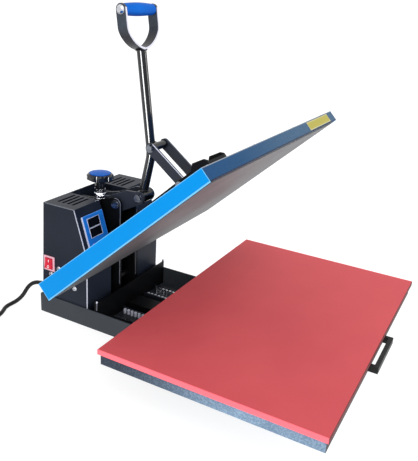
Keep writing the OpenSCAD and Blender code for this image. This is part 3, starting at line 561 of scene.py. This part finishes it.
def curve_piece(name, points, radius, shade, body, resolution=5, closed=False, swell=None):
    """A round bar along a line of points; swell gives each point its share of the radius."""
    data = bpy.data.curves.new(name, "CURVE")
    data.dimensions = "3D"
    data.bevel_depth = radius
    data.bevel_resolution = resolution
    data.use_fill_caps = True
    spline = data.splines.new("POLY")
    spline.points.add(len(points) - 1)
    spline.use_cyclic_u = closed
    for k, (point, place) in enumerate(zip(spline.points, points)):
        point.co = (*place, 1)
        point.radius = swell(k) if swell else 1.0
    data.materials.append(shade.material)
    piece = bpy.data.objects.new(name, data)
    bpy.context.scene.collection.objects.link(piece)
    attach(piece, body)
    return piece


def make_cord():
    """The whole mains cord as one bar, in place of the three plain cord solids."""
    line = [q * MM for q in smooth_line(ROUTE)[:-1] + coil_line() + smooth_line(TAIL)[1:]]
    cord = curve_piece("mains_cord", line, CORD_D / 2, S["cord"], "frame")
    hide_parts("power_cord", "cord_coil", "cord_tail")


make_cord()

# ---------------------------------------------------------------- places on the leaning parts


def leaning(origin, degrees, x, ahead, up):
    """A point of a frame that leans forward about X, in metres."""
    a = math.radians(degrees)
    y = origin[0] + ahead * math.cos(a) + up * math.sin(a)
    z = origin[1] - ahead * math.sin(a) + up * math.cos(a)
    return Vector((x, y, z)) * MM


def on_slope(x, s, out=0.0):
    """A point s up the cabinets' sloping front, and out from it."""
    return leaning((SLOPE_Y, SLOPE_Z), SLOPE_LEAN, x, -out, s)


def on_lever_top(x, y, z):
    """A point of a frame at the top of the lever tube, along the tube's lean."""
    return leaning(TUBE_TOP, TUBE_LEAN, x, y, z)


def on_platen(x, y, z):
    """A point of the closed platen, where it stands when open."""
    a = math.radians(OPEN)
    dy, dz = y - HINGE[0], z - HINGE[1]
    open_y = HINGE[0] + dy * math.cos(a) + dz * math.sin(a)
    open_z = HINGE[1] - dy * math.sin(a) + dz * math.cos(a)
    return Vector((x, open_y, open_z)) * MM


def cover_h(y):
    """Height of the sloping cover above the closed platen's underside."""
    return FRONT_H + (REAR_H - FRONT_H) * (y - COVER_FRONT) / (COVER_REAR - COVER_FRONT)


def mesh_piece(name, bm, shade, body):
    """A piece from a bmesh, riding on a body."""
    mesh = bpy.data.meshes.new(name)
    bmesh.ops.recalc_face_normals(bm, faces=bm.faces)
    bm.to_mesh(mesh)
    bm.free()
    mesh.materials.append(shade.material)
    piece = bpy.data.objects.new(name, mesh)
    bpy.context.scene.collection.objects.link(piece)
    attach(piece, body)
    return piece


def bar_piece(name, points, radius, shade, body, closed=False, swell=None):
    """A thin round bar with its radius in millimetres."""
    piece = curve_piece(name, points, radius * MM, S[shade], body, 2, closed, swell)
    return piece


# ---------------------------------------------------------------- fine pieces


def make_box_edges():
    """Pale beads down the front edges of the two cabinets and along their tops: a painted highlight."""
    inset = 0.75
    for side, name in ((-1, "left"), (1, "right")):
        x = side * (BOX_HALF - inset)
        low = Vector((x, SLOPE_Y + inset, 3)) * MM
        bend = Vector((x, SLOPE_Y + inset, SLOPE_Z)) * MM
        bar_piece(f"box_highlight_{name}_low", [low, bend], 1.05, "edge", "frame")
        top = Vector((x, BOX_TOP_Y + inset, BOX_TOP_Z - inset)) * MM
        bar_piece(f"box_highlight_{name}_slope", [bend, top], 1.05, "edge", "frame")
        rear = Vector((x, 264, BOX_TOP_Z - inset)) * MM
        bar_piece(f"box_highlight_{name}_top", [top, rear], 0.95, "grey_painted_highlight", "frame")


def make_window_frames():
    """Printed pale lines round the two display windows."""
    for name, low, high in (("upper", 54.2, 73.0), ("lower", 34.0, 52.8)):
        corners = [on_slope(x, s, 2.4) for x, s in ((-101, low), (-65, low), (-65, high), (-101, high))]
        bar_piece(f"window_line_{name}", corners, 0.7, "edge", "frame", closed=True)


def make_upright_edges():
    """Pale lines on the rounded front edges of the uprights: a painted highlight."""
    rim = UPRIGHT_R - 0.4
    outer_face, foot = 29.6, 60
    for side, name in ((-1, "left"), (1, "right")):
        x = side * outer_face
        line = [Vector((x, ARM_PIN[0] - rim, foot))]
        for degrees in range(180, 60, -12):
            a = math.radians(degrees)
            line.append(Vector((x, ARM_PIN[0] + rim * math.cos(a), ARM_PIN[1] + rim * math.sin(a))))
        line = [p * MM for p in line]
        bar_piece(f"upright_edge_{name}", line, 0.8, "grey_painted_highlight", "frame")


def make_link_edges():
    """Pale upper edges of the two link bars: a painted highlight."""
    outer_face, half_height = 27.6, 10.2
    pin, elbow = Vector(LINK_PIN), Vector(ELBOW)
    along = (elbow - pin).normalized()
    up = Vector((-along.y, along.x)) * half_height
    for side, name in ((-1, "left"), (1, "right")):
        ends = [pin + along * 4 + up, elbow + along * 1 + up]
        line = [Vector((side * outer_face, *end)) * MM for end in ends]
        bar_piece(f"link_edge_{name}", line, 0.85, "edge", "link")


def make_band_edges():
    """Pale outline of the bright side bands, with a heavier lower lip: a painted highlight along their
    edges.
    """
    front, rear = COVER_FRONT + 1.5, COVER_REAR
    low = CLOSED_Z + 1.2
    for side, name in ((-1, "left"), (1, "right")):
        x = side * (HALF_W - 0.3)
        corners = [
            (front, low + 0.5), (front, CLOSED_Z + cover_h(front) - 0.5),
            (rear - 0.5, CLOSED_Z + REAR_H - 0.5), (rear - 0.5, low + 0.5),
        ]
        line = [on_platen(x, y, z) for y, z in corners]
        bar_piece(f"band_line_{name}", line, 0.75, "band_highlight", "upper_platen", closed=True)
        lip = [on_platen(x, y, low + 0.6) for y in (front, rear - 0.5)]
        bar_piece(f"band_lip_{name}", lip, 1.3, "band_highlight", "upper_platen")


def make_plate_studs():
    """Pale ends of the cross plate, with a round pale stud on each: a painted highlight."""
    end_x, plate_y = 124.2, 135.8
    for side, name in ((-1, "left"), (1, "right")):
        x = side * end_x
        line = [Vector((x, plate_y, z)) * MM for z in (42, 59)]
        bar_piece(f"plate_edge_{name}", line, 1.0, "grey_painted_highlight", "frame")
        bm = bmesh.new()
        bmesh.ops.create_uvsphere(bm, u_segments=20, v_segments=12, radius=2.2 * MM)
        bmesh.ops.translate(bm, vec=Vector((x, plate_y, 60.5)) * MM, verts=bm.verts)
        mesh_piece(f"plate_stud_{name}", bm, S["edge"], "frame")


def make_inner_rollers():
    """Rollers in the inner channel wall of each slide, facing those in the outer wall, painted pale as
    a painted reflection.
    """
    wall, first, pitch, middle = 17.4, -30, 9, 8.75
    radius, height = 3.1 * MM, 9.5 * MM
    bm = bmesh.new()
    for side in (-1, 1):
        for k in range(18):
            place = Vector((side * (SLIDE_X - wall), first + pitch * k, middle)) * MM
            bmesh.ops.create_cone(
                bm, cap_ends=True, segments=16, radius1=radius, radius2=radius, depth=height,
                matrix=Matrix.Translation(place),
            )
    mesh_piece("inner_rollers", bm, S["edge"], "frame")


def add_box(bm, centre, size, turn=None):
    """A box of a size about its centre, turned if asked."""
    made = bmesh.ops.create_cube(bm, size=1.0)["verts"]
    place = Matrix.Translation(centre) @ (turn or Matrix()) @ Matrix.Diagonal((*size, 1.0))
    bmesh.ops.transform(bm, matrix=place, verts=made)


def make_screw_recesses():
    """Dark crosses on the screws on the cabinets' sides and on the rear cover: painted shade in place
    of their cross recesses.
    """
    head_face = 2.1
    bm = bmesh.new()
    for side in (-1, 1):
        for y, z in SIDE_SCREWS:
            for long_y, long_z in ((4.6, 1.0), (1.0, 4.6)):
                centre = Vector((side * (BOX_HALF + head_face), y, z)) * MM
                add_box(bm, centre, Vector((0.5, long_y, long_z)) * MM)
    mesh_piece("side_recesses", bm, S["slot"], "frame")
    head_h = 2.0
    turn = Matrix.Rotation(REAR_LEAN, 4, "X")
    bm = bmesh.new()
    for x in (-118, -54, 54, 118):
        for h in (80, 232):
            y = REAR_FOOT[0] - h * math.sin(REAR_LEAN) + head_h * math.cos(REAR_LEAN)
            z = REAR_FOOT[1] + h * math.cos(REAR_LEAN) + head_h * math.sin(REAR_LEAN)
            for long_x, long_z in ((3.4, 0.8), (0.8, 3.4)):
                add_box(bm, Vector((x, y, z)) * MM, Vector((long_x, 0.4, long_z)) * MM, turn)
    mesh_piece("rear_recesses", bm, S["slot"], "frame")


def dome_head(bm, place, radius, height, matrix):
    """A pan head with a rounded top, standing on its frame's XY plane."""
    rings, steps, rim = 5, 20, 0.35
    profile = [(radius, 0.0), (radius, height * rim)]
    for k in range(1, rings):
        a = math.radians(18 * k)
        profile.append((radius * math.cos(a), height * (rim + (1 - rim) * math.sin(a))))
    loops = []
    for r, z in profile:
        loop = []
        for i in range(steps):
            a = 2 * math.pi * i / steps
            loop.append(bm.verts.new(matrix @ Vector((r * math.cos(a), r * math.sin(a), z)) + place))
        loops.append(loop)
    for a, b in zip(loops, loops[1:]):
        for i in range(steps):
            bm.faces.new((a[i], a[(i + 1) % steps], b[(i + 1) % steps], b[i]))
    bm.faces.new(loops[-1])


def make_cover_heads():
    """Pan heads that hold the cover to the platen."""
    bm = bmesh.new()
    turn = Matrix.Rotation(COVER_LEAN - math.radians(OPEN), 3, "X")
    for x in (-250, -90, 90, 250):
        for y in (-262, 112):
            dome_head(bm, on_platen(x, y, CLOSED_Z + cover_h(y) - 0.1), 4.6 * MM, 2.6 * MM, turn)
    piece = mesh_piece("cover_heads", bm, S["bolt"], "upper_platen")
    for face in piece.data.polygons:
        face.use_smooth = True


def bead(k):
    """Share of the radius at step k of a weld, in ripples."""
    return 1.0 + 0.28 * math.sin(k * 2.1)


def make_welds():
    """Weld beads where the lever tube meets its sleeve, its cross tube and the fork."""
    steps, foot = 48, 3
    lean = math.atan2(PIVOT[0] + foot - BEND[0], BEND[1] - PIVOT[1])
    sleeve = []
    for k in range(steps):
        a = 2 * math.pi * k / steps
        x, y = (TUBE_R + 0.4) * math.cos(a), foot + (TUBE_R + 0.4) * math.sin(a)
        up = math.sqrt(max(SLEEVE_R**2 - y * y, 0.0))
        sleeve.append(Vector((x, PIVOT[0] + y - up * math.tan(lean), PIVOT[1] + up)) * MM)
    bar_piece("sleeve_weld", sleeve, 1.3, "lever", "lever", closed=True, swell=bead)
    ring = []
    for k in range(steps):
        a = 2 * math.pi * k / steps
        x, y = (TUBE_R + 0.5) * math.cos(a), (TUBE_R + 0.5) * math.sin(a)
        ring.append(on_lever_top(x, y, 0.0))
    bar_piece("fork_weld", ring, 1.6, "lever", "lever", closed=True, swell=bead)
    for side, name in ((-1, "left"), (1, "right")):
        line = [Vector((side * 6.4, ELBOW[0] + t, ELBOW[1] + 5.2)) * MM for t in (3, 5, 7, 9, 11)]
        bar_piece(f"elbow_weld_{name}", line, 1.2, "lever", "lever", swell=bead)


def make_grip_collars():
    """Black end rings between the grip and the fork."""
    radius, steps = 9.2, 32
    for side, name in ((-1, "left"), (1, "right")):
        x = side * (GRIP_HALF + 0.6)
        ring = []
        for k in range(steps):
            a = 2 * math.pi * k / steps
            ring.append(on_lever_top(x, radius * math.cos(a), GRIP_H + radius * math.sin(a)))
        bar_piece(f"grip_collar_{name}", ring, 1.2, "plastic", "lever", closed=True)


make_box_edges()
make_window_frames()
make_upright_edges()
make_link_edges()
make_band_edges()
make_plate_studs()
make_inner_rollers()
make_screw_recesses()
make_cover_heads()
make_welds()
make_grip_collars()

# ---------------------------------------------------------------- edges


def soften(names, width, segments=3):
    """Rounds the sharp edges, as folded, cut or moulded edges are."""
    for name in names.split():
        m = NODES[name].modifiers.new("edges", "BEVEL")
        m.width = width * MM
        m.segments = segments
        m.limit_method = "ANGLE"
        m.angle_limit = math.radians(35)
        m.harden_normals = True


soften("silicone_pad", 2.0)
soften("lower_plate drawer_handle", 1.2)
soften("side_bands front_band top_cover base_tray cross_plate", 0.6, 2)
soften("cabinet_left cabinet_right rear_cover platen_bracket upright_left upright_right", 0.5, 2)
soften("link_bars pressure_arms", 0.8, 2)
soften("handle_fork plug switch_frame", 0.8, 2)
soften("pressure_knob", 1.4, 3)
soften("arm_bolt lever_bolt elbow_bolts link_pin grip_bolt pressure_screw knob_cap", 0.6, 2)

# ---------------------------------------------------------------- stage and light


def make_stage():
    """White paper floor, lit a little from within so that it stays white."""
    half = 20
    bm = bmesh.new()
    bmesh.ops.create_grid(bm, x_segments=1, y_segments=1, size=half)
    mesh = bpy.data.meshes.new("floor")
    bm.to_mesh(mesh)
    bm.free()
    floor = bpy.data.objects.new("floor", mesh)
    bpy.context.scene.collection.objects.link(floor)
    s = Shade("floor_paper", Roughness=0.9, Emission_Color=(1, 1, 1, 1), Emission_Strength=0.8)
    s.colour(s.mixed(s.noise(3.0), (0.29, 0.29, 0.29, 1), (0.31, 0.31, 0.31, 1)))
    mesh.materials.append(s.material)


def area_light(name, place, target, size, power):
    """A rectangular light of a size in metres and a power in watts, facing its target."""
    data = bpy.data.lights.new(name, "AREA")
    data.shape = "RECTANGLE"
    data.size, data.size_y = size
    data.energy = power
    light = bpy.data.objects.new(name, data)
    light.location = place
    light.rotation_euler = (Vector(target) - Vector(place)).to_track_quat("-Z", "Y").to_euler()
    bpy.context.scene.collection.objects.link(light)
    return light


def make_light():
    """A pale studio: bright behind the press, softer in front, with narrow strips for highlights.

    The low shine_strip lights only the glossy parts, which reflect it as a long streak.
    """
    glossy = "lever_tube pressure_knob pressure_screw arm_bolt lever_bolt elbow_bolts link_pin"
    shiny = bpy.data.collections.new("shiny")
    for name in glossy.split():
        shiny.objects.link(NODES[name])
    world = bpy.data.worlds.new("studio")
    world.use_nodes = True
    tree = world.node_tree
    where = tree.nodes.new("ShaderNodeTexCoord").outputs["Generated"]
    facing = tree.nodes.new("ShaderNodeVectorMath")
    facing.operation = "DOT_PRODUCT"
    bright_side = (0.889, 0.458, 0.0)
    facing.inputs[1].default_value = bright_side
    tree.links.new(where, facing.inputs[0])
    fade = tree.nodes.new("ShaderNodeMapRange")
    for key, value in (("From Min", -0.4), ("From Max", 0.3), ("To Min", 0.55), ("To Max", 1.05)):
        fade.inputs[key].default_value = value
    tree.links.new(facing.outputs["Value"], fade.inputs["Value"])
    tree.links.new(fade.outputs[0], tree.nodes["Background"].inputs["Color"])
    tree.nodes["Background"].inputs["Strength"].default_value = 1.0
    bpy.context.scene.world = world
    area_light("tall_strip", (-2.4, -0.75, 0.9), (0, 0, 0.3), (0.22, 1.8), 26)
    shine = area_light("shine_strip", (-0.56, 0.04, 0.17), (0, 0.11, 0.35), (0.2, 0.86), 22)
    shine.visible_camera = False
    shine.light_linking.receiver_collection = shiny
    area_light("front_strip", (1.5, -2.2, 0.6), (0, 0, 0.3), (0.5, 1.6), 26)
    sun = bpy.data.lights.new("top", "SUN")
    sun.energy, sun.angle = 1.5, 1.3
    top = bpy.data.objects.new("top", sun)
    top.rotation_euler = Vector((-0.3, -0.75, 0.8)).to_track_quat("Z", "Y").to_euler()
    bpy.context.scene.collection.objects.link(top)
    bpy.context.scene.view_settings.view_transform = "Standard"


make_stage()
make_light()
